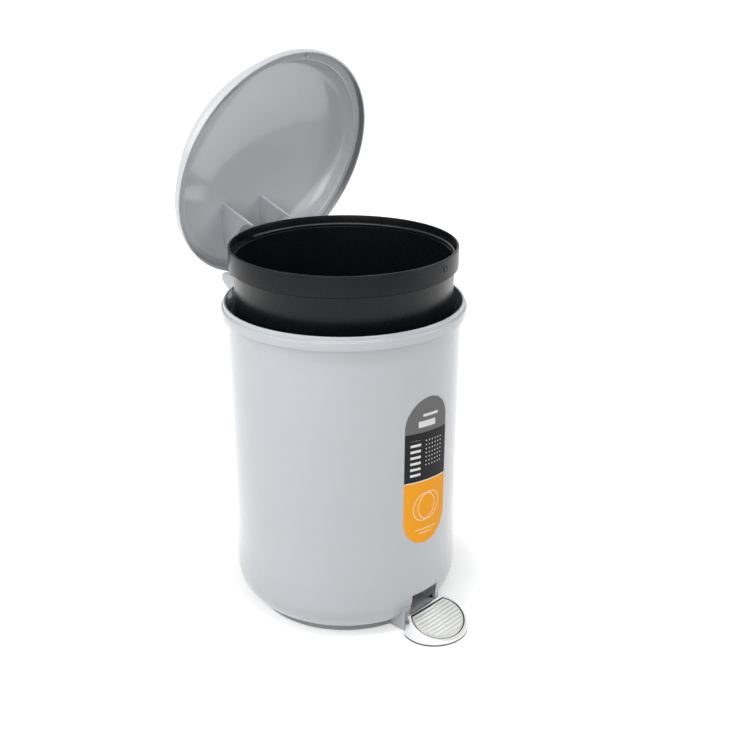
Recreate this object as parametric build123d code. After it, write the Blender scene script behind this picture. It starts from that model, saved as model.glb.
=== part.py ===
from build123d import *
import math
import os

os.makedirs("parts", exist_ok=True)

# Round pedal bin: millimetres, +Z up, pedal towards -Y, hinge towards +Y.
# It stands with the lid open, the pedal down and the bucket lifted.

# Body shell
body_height = 228.0
wall = 1.8
wall_top_radius = 81.2
wall_low_radius = 80.0
corner_radius = 25.0
ring_radius = 65.5
ring_height = 4.5
floor_gap = 0.5
inner_floor_height = 30.0
inner_floor_thickness = 2.0

# Stepped rim of the body
lip_width = 1.8
lip_height = 3.0
ledge_width = 1.6
band_height = 6.4
band_corner = 0.8
band_round = 1.1
lip_round = 0.6

# Bucket
collar_gap = 0.6
collar_height = 14.5
collar_thickness = 1.4
collar_round = 0.6
handle_ledge_depth = 7.5
handle_ledge_width = 3.0
bucket_wall = 1.7
bucket_wall_height = 185.0
bucket_foot_radius = 70.0
bucket_corner = 8.0
seat_depth = 8.7
seat_ring_height = 4.0
seat_ring_gap = 1.2
bucket_lift = 47.0

# Handle
handle_wire = 2.2
handle_side_gap = 0.4
handle_rest_gap = 0.3
handle_turn = 12.5
handle_pin_clearance = 0.06
handle_pin_stand = 0.4

# Lid
lid_height = 35.0
lid_wall = 1.8
lid_brim_gap = 0.3
lid_corner_radius = 18.0
seat_gap = 0.15
lid_crease_radius = 77.2
lid_open_angle = 71.5
latch_slot_width = 5.2
latch_slot_offset = 6.0
latch_slot_depth = 0.8
latch_slot_rise = 0.9

# Hinge at the back of the rim
hinge_back = 91.5
hinge_below_rim = 6.5
hinge_pin_radius = 1.5
hinge_fit = 0.05
arm_spacing = 36.0
arm_thickness = 2.0
hub_radius = 3.5
boss_rise = 1.0
rib_tip = 1.2
arch_front = 41.5
arch_back = 78.3
arch_drop = 6.0
arch_rise = 13.2
lug_gap = 2.5
lug_width = 5.5
lug_back = 8.0
lug_reach = 9.5
lug_foot = 3.7
lug_shelf_drop = 0.1
lug_shelf_step = 0.6
notch_side_gap = 2.3
notch_depth = 16.5

# Link between the lid and the rod
link_radius = 9.0
link_pin_radius = 1.5
link_hub_radius = 2.8
link_slack = 0.45
eye_wall = 1.4
eye_width = 5.0
eye_stem = 4.0

# Rod and its channel at the back
rod_radius = 1.75
rod_back = 84.9
rod_fit = 0.08
channel_half_width = 5.0
channel_wall = 2.0
channel_front_gap = 0.45
channel_back_gap = 1.55
guide_height = 8.0
guide_side_gap = 0.02
lower_guide_level = 60.0
upper_guide_drop = 10.0
shoe_radius = 3.0
shoe_height = 5.0
shoe_gap = 0.3

# Pedal lever under the inner floor
pivot_height = 13.0
pivot_pin_radius = 2.0
pivot_fit = 0.05
lever_thickness = 2.0
lever_above_pivot = 2.5
lever_flange_depth = 6.5
lever_front_half = 11.5
lever_rear_half = 4.0
lever_front = 78.0
lever_wide_end = 40.0
lever_taper_end = 60.0
lever_rear_overrun = 1.6
tongue_half = 9.5
tongue_thickness = 2.2
tongue_length = 20.5
lip_rise = 3.8
lip_run = 14.0
lip_sheet = 1.5
tongue_back_gap = 5.0

# Pedal cap
cap_back = 80.5
cap_half_width = 23.6
cap_half_length = 22.1
cap_centre = 89.0
cap_foot_grow = 0.7
cap_back_height = 15.2
cap_slope = 22.0
cap_wall = 1.6
cap_flare = 10.0
tread_half_width = 21.6
tread_half_length = 18.6
tread_centre = 91.7
tread_back_border = 0.8
tread_recess = 1.2
tread_gap = 0.35
tread_rib_width = 1.2
tread_rib_pitch = 2.85
tread_rib_inset = 1.6
tread_first_rib = 2.8
tread_rib_height = 0.7
stake_radius = 1.6
stake_spacing = 12.0
stake_along = 12.0
stake_fit = 0.02
push_nut_radius = 3.4
push_nut_thickness = 0.8

# Pedal housing at the front of the body
housing_half = 18.3
housing_front = 78.6
housing_wall = 2.2
opening_half = 13.0
opening_height = 28.0

# Base plate and its fixings
plate_thickness = 2.0
plate_level = 2.5
plate_gap = 0.2
spigot_gap = 0.1
spigot_height = 3.5
spigot_wall = 2.0
rim_wall = 3.5
pad_radius = 6.0
pad_inset = 5.5
pad_turn = 33.7
boss_radius = 4.0
boss_inset = 0.4
housing_slot_depth = 11.8
rear_slot_depth = 9.8
screw_radius = 1.5
screw_length = 12.0
screw_head_radius = 3.0
screw_head_height = 1.2
screw_core = 1.3

# Saddle that carries the lever's pivot pin
saddle_inner_half = 13.0
saddle_thickness = 1.5
saddle_half_length = 7.0
saddle_clear = 3.4
rivet_radius = 1.5
rivet_spacing = 9.0
rivet_head_radius = 2.6
rivet_head_height = 0.8
clip_thickness = 0.8
clip_rim = 1.6
pin_overhang = 2.2

# Front sticker
label_width = 40.0
label_top = 177.0
label_bottom = 68.0
label_thickness = 0.3
label_seat_gap = 0.03
label_turn = -1.4

# Heights and radii that follow from the sizes above
ledge_level = body_height - lip_height
band_bottom = ledge_level - band_height
hinge_level = body_height - hinge_below_rim
seat_top = body_height - seat_depth
bucket_top = seat_top + bucket_lift
pocket_radius = wall_top_radius - wall
collar_radius = pocket_radius - collar_gap
collar_inner = collar_radius - collar_thickness
bucket_bore = collar_inner - handle_ledge_width
bucket_radius = bucket_bore + bucket_wall
lip_inner = wall_top_radius + 0.25 * lip_width
lip_outer = lip_inner + lip_width
band_radius = lip_outer + ledge_width
corner_level = ring_height + math.sqrt(
    corner_radius**2 - (ring_radius - wall_low_radius + corner_radius) ** 2
)
handle_radius = collar_inner - handle_side_gap - handle_wire / 2
handle_level = bucket_top - handle_ledge_depth + handle_rest_gap + handle_wire / 2
channel_front = rod_back - rod_radius - channel_front_gap
channel_back = rod_back + rod_radius + channel_back_gap
notch_half = arm_spacing / 2 + arm_thickness / 2 + notch_side_gap
notch_level = body_height - notch_depth
lug_inner = arm_spacing / 2 + arm_thickness / 2 + lug_gap
lug_outer = lug_inner + lug_width
link_drop = math.radians(lid_open_angle / 2)
link_reach = link_radius * math.cos(link_drop)
link_throw = 2 * link_radius * math.sin(link_drop)
link_back = hinge_back - link_reach
lever_swing = math.degrees(math.asin(link_throw / rod_back))
lid_hinge_axis = Axis((0, hinge_back, hinge_level), (-1, 0, 0))
pivot_axis = Axis((0, 0, pivot_height), (1, 0, 0))
spigot_radius = wall_low_radius - corner_radius - spigot_gap + math.sqrt(
    (corner_radius - wall) ** 2 - (corner_level - ring_height) ** 2
)
boss_spot = (spigot_radius - spigot_wall - boss_radius - boss_inset) / math.sqrt(2)
pad_ring = ring_radius - rim_wall - pad_inset - pad_radius
pad_x = pad_ring * math.cos(math.radians(pad_turn))
pad_y = pad_ring * math.sin(math.radians(pad_turn))
eye_outer = link_pin_radius + link_slack + eye_wall
eye_low = hinge_level - link_throw / 2 - eye_outer - eye_stem
upper_guide_level = eye_low - upper_guide_drop - guide_height
lug_root = hinge_back - pocket_radius
plate_bottom = plate_level
plate_top = plate_level + plate_thickness


def rounded(face, spots):
    """A section with some of its corners rounded, each given as radius, height and fillet."""
    for across, height, size in spots:
        near = sorted(face.vertices(), key=lambda v: abs(v.X - across) + abs(v.Y - height))[0]
        face = fillet(near, size)
    return face


def revolve_profile(points, spots=()):
    """A closed outline of radius and height, turned about the vertical axis."""
    face = rounded(make_face(Polyline(*points, close=True)), spots)
    return revolve(Plane.XZ * face, Axis.Z)


def block(x_half, y_low, y_high, z_low, z_high):
    """A block that is symmetric left and right."""
    size = (2 * x_half, y_high - y_low, z_high - z_low)
    centre = (0, (y_low + y_high) / 2, (z_low + z_high) / 2)
    return Pos(*centre) * Box(*size)


def upright(radius, z_low, z_high, x=0.0, y=0.0):
    """A vertical round bar."""
    return Pos(x, y, (z_low + z_high) / 2) * Cylinder(radius, z_high - z_low)


def crossbar(radius, x_low, x_high, y, z):
    """A round bar along X."""
    bar = Rot(0, 90, 0) * Cylinder(radius, x_high - x_low)
    return Pos((x_low + x_high) / 2, y, z) * bar


def side_plate(points, x_low, x_high):
    """A flat outline of back and height, thickened along X."""
    face = Plane.YZ * make_face(Polyline(*points, close=True))
    return Pos(x_low, 0, 0) * extrude(face, x_high - x_low, dir=(1, 0, 0))


def wall_radius_at(height):
    """The outside of the body's drafted wall."""
    share = (height - corner_level) / (band_bottom - corner_level)
    return wall_low_radius + share * (wall_top_radius - wall_low_radius)


def corner_arc(inset):
    """The rounded foot of the wall, from the wall down to the base."""
    centre = wall_low_radius - corner_radius
    radius = corner_radius - inset
    last = math.asin(min(1.0, (corner_level - ring_height) / radius))
    middle = last / 2
    spots = [
        (centre + radius * math.cos(turn), corner_level - radius * math.sin(turn))
        for turn in (0.0, middle, last)
    ]
    return ThreePointArc(*spots), spots[0], spots[2]


def body_outside():
    """The body's full outline as one solid."""
    arc, arc_top, arc_foot = corner_arc(0)
    outline = Polyline(
        arc_top,
        (wall_top_radius, band_bottom),
        (band_radius, band_bottom),
        (band_radius, ledge_level),
        (lip_outer, ledge_level),
        (lip_outer, body_height - lip_round),
        (lip_outer - lip_round, body_height),
        (0, body_height),
        (0, ring_height),
        arc_foot,
    )
    spots = [
        (band_radius, band_bottom, band_corner / 2),
        (band_radius, ledge_level, band_round),
    ]
    return revolve(Plane.XZ * rounded(make_face(arc + outline), spots), Axis.Z)


def body_bore():
    """The space above the inner floor, with the ring that seats the collar."""
    seat = seat_top - collar_height - 0.02 * collar_height
    seat_radius = bucket_radius + seat_ring_gap
    low = inner_floor_height + inner_floor_thickness
    foot = wall_radius_at(low) - wall
    return revolve_profile(
        [
            (0, low),
            (foot - wall, low),
            (foot, low + wall),
            (wall_radius_at(seat - seat_ring_height) - wall, seat - 1.5 * seat_ring_height),
            (seat_radius, seat - seat_ring_height / 2),
            (seat_radius, seat),
            (pocket_radius, seat),
            (pocket_radius, band_bottom),
            (lip_inner, ledge_level),
            (lip_inner, body_height - lip_round),
            (lip_inner + lip_round, body_height),
            (lip_inner + lip_round, body_height + lip_height),
            (0, body_height + lip_height),
        ]
    )


def lever_chamber():
    """The space under the inner floor, open below."""
    arc, arc_top, arc_foot = corner_arc(wall)
    ceiling = inner_floor_height
    outline = Polyline(
        arc_top,
        (arc_top[0], ceiling),
        (0, ceiling),
        (0, -ring_height),
        (arc_foot[0], -ring_height),
        arc_foot,
    )
    return revolve(Plane.XZ * make_face(arc + outline), Axis.Z)


def front_round(radius, z_low, z_high):
    """The housing's front keeps the roundness of the wall."""
    return upright(radius, z_low, z_high)


def make_outer_body():
    shell = body_outside()
    tall = corner_level + corner_radius / 2
    housing = block(housing_half, -housing_front, -corner_radius, floor_gap, tall)
    shell += housing & front_round(housing_front, floor_gap, tall)
    spine_half = channel_half_width + channel_wall
    spine_back = channel_back + channel_wall
    shell += block(spine_half, ring_radius / 2, spine_back, floor_gap, notch_level - 0.5)
    for side in (-1, 1):
        low = lug_inner if side > 0 else -lug_outer
        shell += side_plate(lug_outline(), low, low + lug_width)
    shell -= body_bore()
    for x in (-1, 1):
        for y in (-1, 1):
            spot = (x * boss_spot, y * boss_spot)
            shell += upright(boss_radius, plate_top, inner_floor_height + 1, *spot)
    chamber = lever_chamber()
    for x in (-1, 1):
        for y in (-1, 1):
            spot = (x * boss_spot, y * boss_spot)
            chamber -= upright(boss_radius, plate_top, inner_floor_height, *spot)
    shell -= chamber
    pocket = housing_front - housing_wall
    inside = block(housing_half - housing_wall, -pocket, -corner_radius, -floor_gap, opening_height)
    shell -= inside & front_round(pocket, -floor_gap, opening_height)
    shell -= block(opening_half, -band_radius, -corner_radius, -floor_gap, opening_height)
    rear_top = inner_floor_height - wall
    shell -= block(channel_half_width, ring_radius / 2, channel_back, -floor_gap, rear_top)
    shell -= block(channel_half_width, channel_front, channel_back, -floor_gap, body_height)
    shell -= block(notch_half, pocket_radius / 2, 2 * band_radius, notch_level, 2 * body_height)
    shell -= block(channel_half_width, pocket_radius / 2, channel_back, eye_low - 0.8, body_height)
    pin_hole = hinge_pin_radius + 0.01
    shell -= crossbar(pin_hole, -lug_outer + lug_width / 4, 2 * lug_outer, hinge_back, hinge_level)
    for x in (-1, 1):
        for y in (-1, 1):
            spot = (x * boss_spot, y * boss_spot)
            shell -= upright(screw_core, plate_top - 1, plate_top + screw_length, *spot)
    return shell


def lug_outline():
    """A lug: a rounded top about the hinge pin, a squared back and a sloping foot."""
    arc = []
    for turn in (155, 140, 125, 110, 95):
        angle = math.radians(turn)
        arc.append((lug_reach * math.cos(angle), lug_reach * math.sin(angle)))
    shelf = ledge_level - lug_shelf_drop - hinge_level
    outline = [(-lug_root, -lug_reach), (-lug_root, shelf), (-lug_reach + lug_shelf_step, shelf)] + arc
    outline += [(lug_back - 2, lug_reach), (lug_back, lug_reach - 2)]
    outline += [(lug_back, lug_reach / 3), (-lug_shelf_step, -lug_foot)]
    return [(hinge_back + y, hinge_level + z) for y, z in outline]


def make_inner_bucket():
    top = bucket_top
    bottom = top - bucket_wall_height
    foot = bucket_foot_radius
    inner_foot = foot - bucket_wall
    ledge = top - handle_ledge_depth
    shell = revolve_profile(
        [
            (0, bottom),
            (foot, bottom),
            (bucket_radius, top - collar_height),
            (collar_radius, top - collar_height),
            (collar_radius, top),
            (collar_inner, top),
            (collar_inner, ledge),
            (bucket_bore, ledge),
            (bucket_bore, top - collar_height),
            (inner_foot, bottom + bucket_wall),
            (0, bottom + bucket_wall),
        ],
        [
            (foot, bottom, bucket_corner),
            (inner_foot, bottom + bucket_wall, bucket_corner - bucket_wall),
            (collar_radius, top, collar_round),
            (collar_inner, top, collar_round / 2),
            (bucket_bore, ledge, collar_round / 2),
        ],
    )
    hole = handle_wire / 2 + handle_pin_clearance
    drill = Rot(0, 0, handle_turn) * (Pos(0, 0, handle_level) * Rot(90, 0, 0) * Cylinder(hole, 4 * band_radius))
    return shell - drill


def make_bail_handle():
    """A wire bow that lies on the bucket's ledge, its ends turned out through the collar."""
    wire = handle_wire / 2
    bow = CenterArc((0, 0, 0), handle_radius, -90, 180)
    start = bow @ 0
    section = Plane(origin=start, z_dir=bow % 0) * Circle(wire)
    handle = sweep(section, path=bow)
    tip = collar_radius + handle_pin_stand
    length = tip - handle_radius + wire
    for side in (-1, 1):
        middle = side * (tip - length / 2)
        handle += Pos(0, middle, 0) * Rot(90, 0, 0) * Cylinder(wire, length)
    return Pos(0, 0, handle_level) * Rot(0, 0, handle_turn) * handle


def lid_curve(inset):
    """The dome's corner and crown at a depth below its outside, and its base and top."""
    reach = lid_crease_radius + lid_wall
    base = body_height + seat_gap + lid_wall
    rise = ledge_level + lid_height - base
    corner = lid_corner_radius
    crown = ((reach - corner) ** 2 + rise**2 - corner**2) / (2 * (rise - corner))
    lean = math.atan2(reach - corner, crown - rise)
    across = reach - corner
    down = base + rise - crown

    def on_corner(turn):
        radius = corner - inset
        return across + radius * math.sin(turn), base + radius * math.cos(turn)

    def on_crown(turn):
        radius = crown - inset
        return radius * math.sin(turn), down + radius * math.cos(turn)

    right = math.pi / 2
    side = ThreePointArc(on_corner(right), on_corner((right + lean) / 2), on_corner(lean))
    top = ThreePointArc(on_crown(lean), on_crown(lean / 2), on_crown(0))
    return side + top, reach - inset, base, base + rise - inset


def lid_shell():
    """The lid, closed: a lip outside the body's, a flat seat on it, and a dome."""
    seat = body_height + seat_gap
    outer, outer_reach, brim_top, outer_top = lid_curve(0)
    inner, inner_reach, _, inner_top = lid_curve(lid_wall)
    brim = Polyline(
        (inner_reach, brim_top),
        (inner_reach, seat),
        (lip_outer + lid_brim_gap, seat),
        (lip_outer + lid_brim_gap, ledge_level + seat_gap),
        (band_radius, ledge_level + seat_gap),
        (band_radius, brim_top - lid_wall / 2),
        (band_radius - lid_wall / 2, brim_top),
        (outer_reach, brim_top),
    )
    crown = Polyline((0, outer_top), (0, inner_top))
    return revolve(Plane.XZ * make_face(brim + outer + crown + inner), Axis.Z)


def rib_envelope():
    """The space in which the ribs may stand, up to the middle of the dome's wall."""
    middle, reach, base, top = lid_curve(lid_wall / 2)
    seat = body_height + seat_gap
    under = Polyline((0, top), (0, seat), (reach, seat), (reach, base))
    return revolve(Plane.XZ * make_face(middle + under), Axis.Z)


def link_level_closed():
    """Height of the link pin with the lid closed."""
    return hinge_level - link_radius * math.sin(link_drop)


def arm_outline():
    """One arm, closed: the rib in the dome, the hinge's hub and the heel at the link."""
    low = link_level_closed()
    heel = link_hub_radius
    hub = hub_radius
    lean = math.atan2(hinge_level - low, hinge_back - link_back)
    across, down = math.sin(lean), math.cos(lean)
    return [
        (arch_front - rib_tip, ledge_level - arch_drop),
        (arch_back, ledge_level - arch_drop),
        (link_back - heel * 0.8, low + heel * 0.6),
        (link_back - heel, low),
        (link_back, low - heel),
        (link_back + heel * across, low - heel * down),
        (hinge_back + hub * across, hinge_level - hub * down),
        (hinge_back + hub, hinge_level),
        (hinge_back + hub * 0.7, hinge_level + hub * 0.7),
        (band_radius - band_corner, body_height + seat_gap + lid_wall / 2),
        (lid_crease_radius, body_height + seat_gap + lid_wall),
        (lid_crease_radius, ledge_level + lid_height),
        (arch_front - rib_tip, ledge_level + lid_height),
    ]


def arch_space():
    """The arch under the ribs that clears the bucket's rim as the lid turns."""
    middle = (arch_front + arch_back) / 2
    oval = Pos(middle, ledge_level - arch_drop) * Ellipse((arch_back - arch_front) / 2, arch_rise)
    return Pos(-arm_spacing, 0, 0) * extrude(Plane.YZ * oval, 2 * arm_spacing, dir=(1, 0, 0))


def make_lid():
    shell = lid_shell()
    seat = body_height + seat_gap
    keep = rib_envelope()
    keep += block(arm_spacing, corner_radius, 2 * band_radius, notch_level, seat + lid_wall / 2)
    arch = arch_space()
    link_level = link_level_closed()
    for side in (-1, 1):
        middle = side * arm_spacing / 2
        arm = side_plate(arm_outline(), middle - arm_thickness / 2, middle + arm_thickness / 2)
        shell += (arm & keep) - arch
        low = middle - arm_thickness / 2 - boss_rise
        high = middle + arm_thickness / 2 + boss_rise
        shell += crossbar(hub_radius, low, high, hinge_back, hinge_level)
        shell += crossbar(link_hub_radius, low, high, link_back, link_level)
    reach = 2 * arm_spacing
    shell -= crossbar(hinge_pin_radius + hinge_fit, -reach, reach, hinge_back, hinge_level)
    shell -= crossbar(link_pin_radius, -reach, reach, link_back, link_level)
    slot_front = -lip_outer - lid_brim_gap + latch_slot_depth
    slot = block(latch_slot_width / 2, slot_front - 2 * latch_slot_depth, slot_front, 0, seat + latch_slot_rise)
    shell -= Pos(latch_slot_offset, 0, 0) * slot
    return shell.rotate(lid_hinge_axis, lid_open_angle)


def make_lid_link_pin():
    link_level = link_level_closed()
    half = arm_spacing / 2 + arm_thickness / 2 + boss_rise + clip_thickness
    pin = crossbar(link_pin_radius, -half, half, link_back, link_level)
    return pin.rotate(lid_hinge_axis, lid_open_angle)


def make_link_pin_clips():
    link_level = link_level_closed()
    start = arm_spacing / 2 + arm_thickness / 2 + boss_rise
    group = []
    for side in (-1, 1):
        low, high = sorted((side * start, side * (start + clip_thickness)))
        clip = crossbar(link_pin_radius + 1.0, low, high, link_back, link_level)
        clip -= crossbar(link_pin_radius, low - 1, high + 1, link_back, link_level)
        group.append(clip.rotate(lid_hinge_axis, lid_open_angle))
    return group


def make_hinge_pin():
    low = -lug_outer + lug_width / 4
    high = lug_outer + pin_overhang
    return crossbar(hinge_pin_radius, low, high, hinge_back, hinge_level)


def make_hinge_pin_washer():
    low = lug_outer
    washer = crossbar(hinge_pin_radius + clip_rim, low, low + clip_thickness, hinge_back, hinge_level)
    return washer - crossbar(hinge_pin_radius, low - 1, low + 2, hinge_back, hinge_level)


def rod_eye_middle():
    """Middle of the eye's slot, with the lid open."""
    sweep_back = link_radius * (1 - math.cos(link_drop))
    return link_back - sweep_back / 2, hinge_level + link_throw / 2, sweep_back


def make_rod_eye():
    back, level, travel = rod_eye_middle()
    half_height = link_pin_radius + link_slack
    half_length = half_height + travel / 2
    outer_half = half_height + eye_wall
    slot_middle = travel / 2
    eye = Pos(0, back, level) * Box(eye_width, travel, 2 * outer_half)
    for side in (-1, 1):
        eye += crossbar(outer_half, -eye_width / 2, eye_width / 2, back + side * slot_middle, level)
    eye += block(eye_width / 2, rod_back - rod_radius - eye_wall, rod_back + rod_radius + eye_wall,
                 level - outer_half - eye_stem, level)
    eye -= Pos(0, back, level) * Box(2 * eye_width, travel, 2 * half_height)
    for side in (-1, 1):
        eye -= crossbar(half_height, -eye_width, eye_width, back + side * slot_middle, level)
    eye -= upright(rod_radius, level - outer_half - 8, level - outer_half, 0, rod_back)
    return eye


def rod_ends():
    """The rod's lower and upper ends, with the pedal down."""
    _, level, _ = rod_eye_middle()
    half_height = link_pin_radius + link_slack + eye_wall
    turn = math.radians(lever_swing / 2)
    lever_top = pivot_height + rod_back * math.sin(turn) + lever_above_pivot * math.cos(turn)
    lever_top += shoe_radius * math.tan(turn)
    return lever_top + shoe_gap, level - half_height


def make_push_rod():
    foot, head = rod_ends()
    return upright(rod_radius, foot + 1.5, head, 0, rod_back)


def make_rod_shoe():
    foot, _ = rod_ends()
    shoe = upright(shoe_radius, foot, foot + shoe_height, 0, rod_back)
    return shoe - upright(rod_radius, foot + 1.5, foot + 2 * shoe_height, 0, rod_back)


def make_rod_guides():
    group = []
    for level in (lower_guide_level, upper_guide_level):
        guide = block(channel_half_width - guide_side_gap, channel_front + guide_side_gap,
                      channel_back - guide_side_gap, level, level + guide_height)
        hole = rod_radius + rod_fit
        group.append(guide - upright(hole, level - 1, level + guide_height + 1, 0, rod_back))
    return group


def cap_plane(drop):
    """The pedal's sloping top, lowered square to itself by a drop."""
    turn = math.radians(cap_slope)
    normal = (0, -math.sin(turn), math.cos(turn))
    origin = (0, -cap_back + drop * math.sin(turn), cap_back_height - drop * math.cos(turn))
    return Plane(origin=origin, x_dir=(1, 0, 0), z_dir=normal)


def below(plane):
    """A large block under a sloping plane."""
    reach = 4 * cap_half_width
    return plane * (Pos(0, 0, -reach / 2) * Box(2 * reach, 2 * reach, reach))


def cap_prism(grow, low, high):
    """The pedal's oval, flaring towards the floor, with an upright back."""
    foot = Pos(0, -cap_centre, low) * Ellipse(cap_half_width + grow, cap_half_length + grow)
    column = extrude(foot, high - low, taper=cap_flare)
    reach = 4 * cap_half_width
    back = -cap_back + grow
    return column & block(reach, back - reach, back, low, high)


def stake_spots():
    """Where the pedal is staked to the lever, on its sloping plane."""
    return [(side * stake_spacing / 2, -stake_along) for side in (-1, 1)]


def make_pedal_cap():
    top = cap_back_height + 2
    solid = cap_prism(cap_foot_grow, floor_gap, top) & below(cap_plane(0))
    hollow = cap_prism(cap_foot_grow - cap_wall, -1, top) & below(cap_plane(cap_wall + tread_recess))
    cap = solid - hollow
    recess = cap_plane(0) * Pos(0, 0, -tread_recess) * extrude(tread_outline(0), 4)
    cap -= recess
    reach = cap_wall + tongue_thickness + push_nut_thickness + 0.6
    for x, along in stake_spots():
        cap += cap_plane(tread_recess) * Pos(x, along, -reach / 2) * Cylinder(stake_radius, reach)
    gap = tongue_half + 0.4
    slot = block(gap, -cap_back - cap_wall - 0.8, -cap_back + 4, -1, cap_back_height - 2.4)
    return cap - slot


def tread_outline(shrink):
    """The tread's outline on the pedal's slope: an oval with a straight back."""
    middle = (cap_back - tread_centre) / math.cos(math.radians(cap_slope))
    oval = Pos(0, middle) * Ellipse(tread_half_width - shrink, tread_half_length - shrink)
    back = -tread_back_border - shrink
    keep = Pos(0, back - 2 * cap_half_length) * Rectangle(4 * cap_half_width, 4 * cap_half_length)
    return oval & keep


def make_pedal_tread():
    thick = tread_recess - tread_gap / 2
    plate = extrude(tread_outline(tread_gap), thick)
    field = tread_outline(tread_gap + tread_rib_inset)
    front = field.bounding_box().min.Y
    count = int((-front - tread_first_rib) / tread_rib_pitch) + 1
    for index in range(count):
        middle = -tread_first_rib - index * tread_rib_pitch
        strip = Pos(0, middle) * Rectangle(2 * cap_half_width, tread_rib_width)
        plate += extrude(field & strip, thick + tread_rib_height)
    return cap_plane(tread_recess) * plate


def make_pedal_push_nuts():
    group = []
    level = tread_recess + cap_wall + tongue_thickness
    for x, along in stake_spots():
        nut = Pos(x, along, -push_nut_thickness / 2) * Cylinder(push_nut_radius, push_nut_thickness)
        nut -= Pos(x, along, -push_nut_thickness / 2) * Cylinder(
            stake_radius + stake_fit, 2 * push_nut_thickness
        )
        group.append(cap_plane(level) * nut)
    return group


def lever_bar():
    """The pressed lever, level: a top plate, two flanges and a hub."""
    top = pivot_height + lever_above_pivot
    rear = rod_back + lever_rear_overrun
    front = lever_front
    wide = lever_front_half
    narrow = lever_rear_half
    plan = Polyline(
        (-wide, -front),
        (wide, -front),
        (wide, lever_wide_end),
        (narrow, lever_taper_end),
        (narrow, rear),
        (-narrow, rear),
        (-narrow, lever_taper_end),
        (-wide, lever_wide_end),
        close=True,
    )
    skin = lever_thickness
    outline = make_face(plan)
    inner = offset(outline, -skin, kind=Kind.INTERSECTION)
    full = Pos(0, 0, top - lever_flange_depth) * extrude(outline, lever_flange_depth)
    trough = Pos(0, 0, top - lever_flange_depth - 1) * extrude(inner, lever_flange_depth + 1 - skin)
    return full - trough


def make_pedal_lever():
    bar = lever_bar()
    hub = crossbar(pivot_pin_radius + 2.2, -lever_front_half, lever_front_half, 0, pivot_height)
    bar += hub & block(lever_front_half, -housing_half, housing_half, 0, pivot_height + lever_above_pivot)
    bar -= crossbar(pivot_pin_radius + pivot_fit, -housing_half, housing_half, 0, pivot_height)
    bar -= block(lever_front_half + 1, -lever_front - 1, -lever_front + 8,
                 0, pivot_height + lever_above_pivot - lever_thickness - 2.0)
    bar = bar.rotate(pivot_axis, lever_swing / 2)
    tongue_top = cap_plane(cap_wall + tread_recess)
    slab = tongue_top * (
        Pos(0, -tongue_length / 2 - 1.6, -tongue_thickness / 2)
        * Box(2 * tongue_half, tongue_length - 3.2, tongue_thickness)
    )
    neck = side_plate(neck_outline(), -tongue_half, tongue_half)
    lip = side_plate(lip_outline(), -lever_front_half, lever_front_half)
    lever = bar + slab + neck + lip
    for x, along in stake_spots():
        hole = Cylinder(stake_radius + stake_fit, 4 * tongue_thickness)
        lever -= tongue_top * Pos(x, along, 0) * hole
    return lever


def lever_top_at(back):
    """The top of the lowered lever at a distance in front of its pivot."""
    swing = math.radians(lever_swing / 2)
    return pivot_height - back * math.sin(swing) + lever_above_pivot * math.cos(swing)


def lip_outline():
    """The raised front of the lever: a strip that climbs to a folded edge."""
    front = lever_front
    inner = lever_front - lip_sheet
    rear = lever_front - lip_run
    rise = lever_top_at(front) + lip_rise
    return [
        (-front, lever_top_at(front) - lip_sheet / 2),
        (-front, rise),
        (-rear, lever_top_at(rear) + lip_sheet / 8),
        (-rear, lever_top_at(rear) - lip_sheet * 0.8),
        (-inner, rise - lip_sheet * 1.3),
        (-inner, lever_top_at(inner) - lip_sheet / 2),
    ]


def neck_outline():
    """The neck between the lever's front edge and the tongue under the pedal."""
    turn = math.radians(cap_slope)
    deep = cap_wall + tread_recess
    start = 3.2
    drop = deep + tongue_thickness
    upper = (-cap_back - start * math.cos(turn) + deep * math.sin(turn),
             cap_back_height - start * math.sin(turn) - deep * math.cos(turn))
    lower = (-cap_back - start * math.cos(turn) + drop * math.sin(turn),
             cap_back_height - start * math.sin(turn) - drop * math.cos(turn))
    back = lever_front - 2.0
    level = lever_top_at(back)
    return [upper, lower, (-back, level - lever_thickness - 0.4), (-back, level - 0.2)]


def make_lever_pivot_pin():
    half = saddle_inner_half + saddle_thickness + pin_overhang
    return crossbar(pivot_pin_radius, -half, half, 0, pivot_height)


def make_pivot_pin_clips():
    group = []
    start = saddle_inner_half + saddle_thickness
    for side in (-1, 1):
        low, high = sorted((side * start, side * (start + clip_thickness)))
        clip = crossbar(pivot_pin_radius + clip_rim, low, high, 0, pivot_height)
        group.append(clip - crossbar(pivot_pin_radius, low - 1, high + 1, 0, pivot_height))
    return group


def make_pivot_saddle():
    """A folded steel saddle on the base plate, with an ear each side of the lever."""
    outer = saddle_inner_half + saddle_thickness
    length = saddle_half_length
    top = pivot_height + pivot_pin_radius + saddle_clear - saddle_thickness
    saddle = block(outer, -length, length, plate_top, top)
    saddle -= block(saddle_inner_half, -2 * length, 2 * length, plate_top + saddle_thickness, 2 * top)
    saddle -= crossbar(pivot_pin_radius, -2 * outer, 2 * outer, 0, pivot_height)
    for side in (-1, 1):
        saddle -= upright(rivet_radius, 0, 2 * plate_top, side * rivet_spacing, 0)
    return saddle


def make_saddle_rivets():
    group = []
    for side in (-1, 1):
        x = side * rivet_spacing
        head = plate_top + saddle_thickness
        rivet = upright(rivet_radius, plate_bottom - rivet_head_height, head, x)
        rivet += upright(rivet_head_radius, head, head + rivet_head_height, x)
        rivet += upright(rivet_head_radius, plate_bottom - rivet_head_height, plate_bottom, x)
        group.append(rivet)
    return group


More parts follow.
